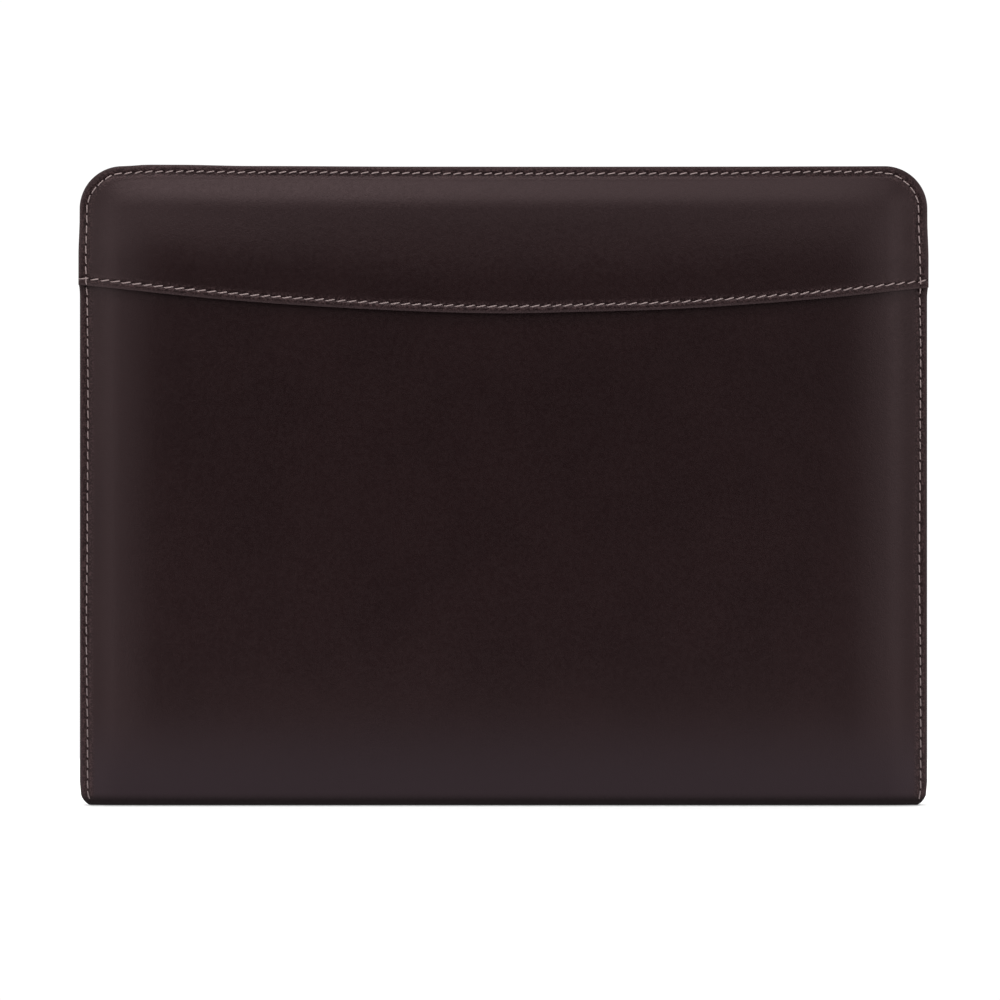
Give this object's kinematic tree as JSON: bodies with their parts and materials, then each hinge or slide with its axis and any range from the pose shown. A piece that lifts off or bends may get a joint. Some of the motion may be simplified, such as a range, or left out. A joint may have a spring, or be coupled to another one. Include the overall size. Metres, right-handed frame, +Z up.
{
  "type": "leather document case",
  "caption": "Slim landscape leather document case, closed, with rounded top corners, a curved yoke over the top of the front and a recessed zip round three sides.",
  "frame": {"origin": "on the surface that the case stands on, under the middle of its folded spine", "axes": "+X towards the right-hand side as the front is seen, +Y from the front to the back, +Z up to the top edge"},
  "size_m": [0.3408, 0.0263, 0.2564],
  "materials": {
    "leather": "dark brown smooth full-grain leather, soft satin",
    "zip_tape": "dark brown woven tape",
    "zip_metal": "aged dark brass"
  },
  "bodies": {
    "root": {"cover": "leather", "yoke": "leather", "zip_tape_front": "zip_tape", "zip_tape_back": "zip_tape", "zip_chain": "zip_metal", "zip_slider": "zip_metal"}
  },
  "joints": []
}
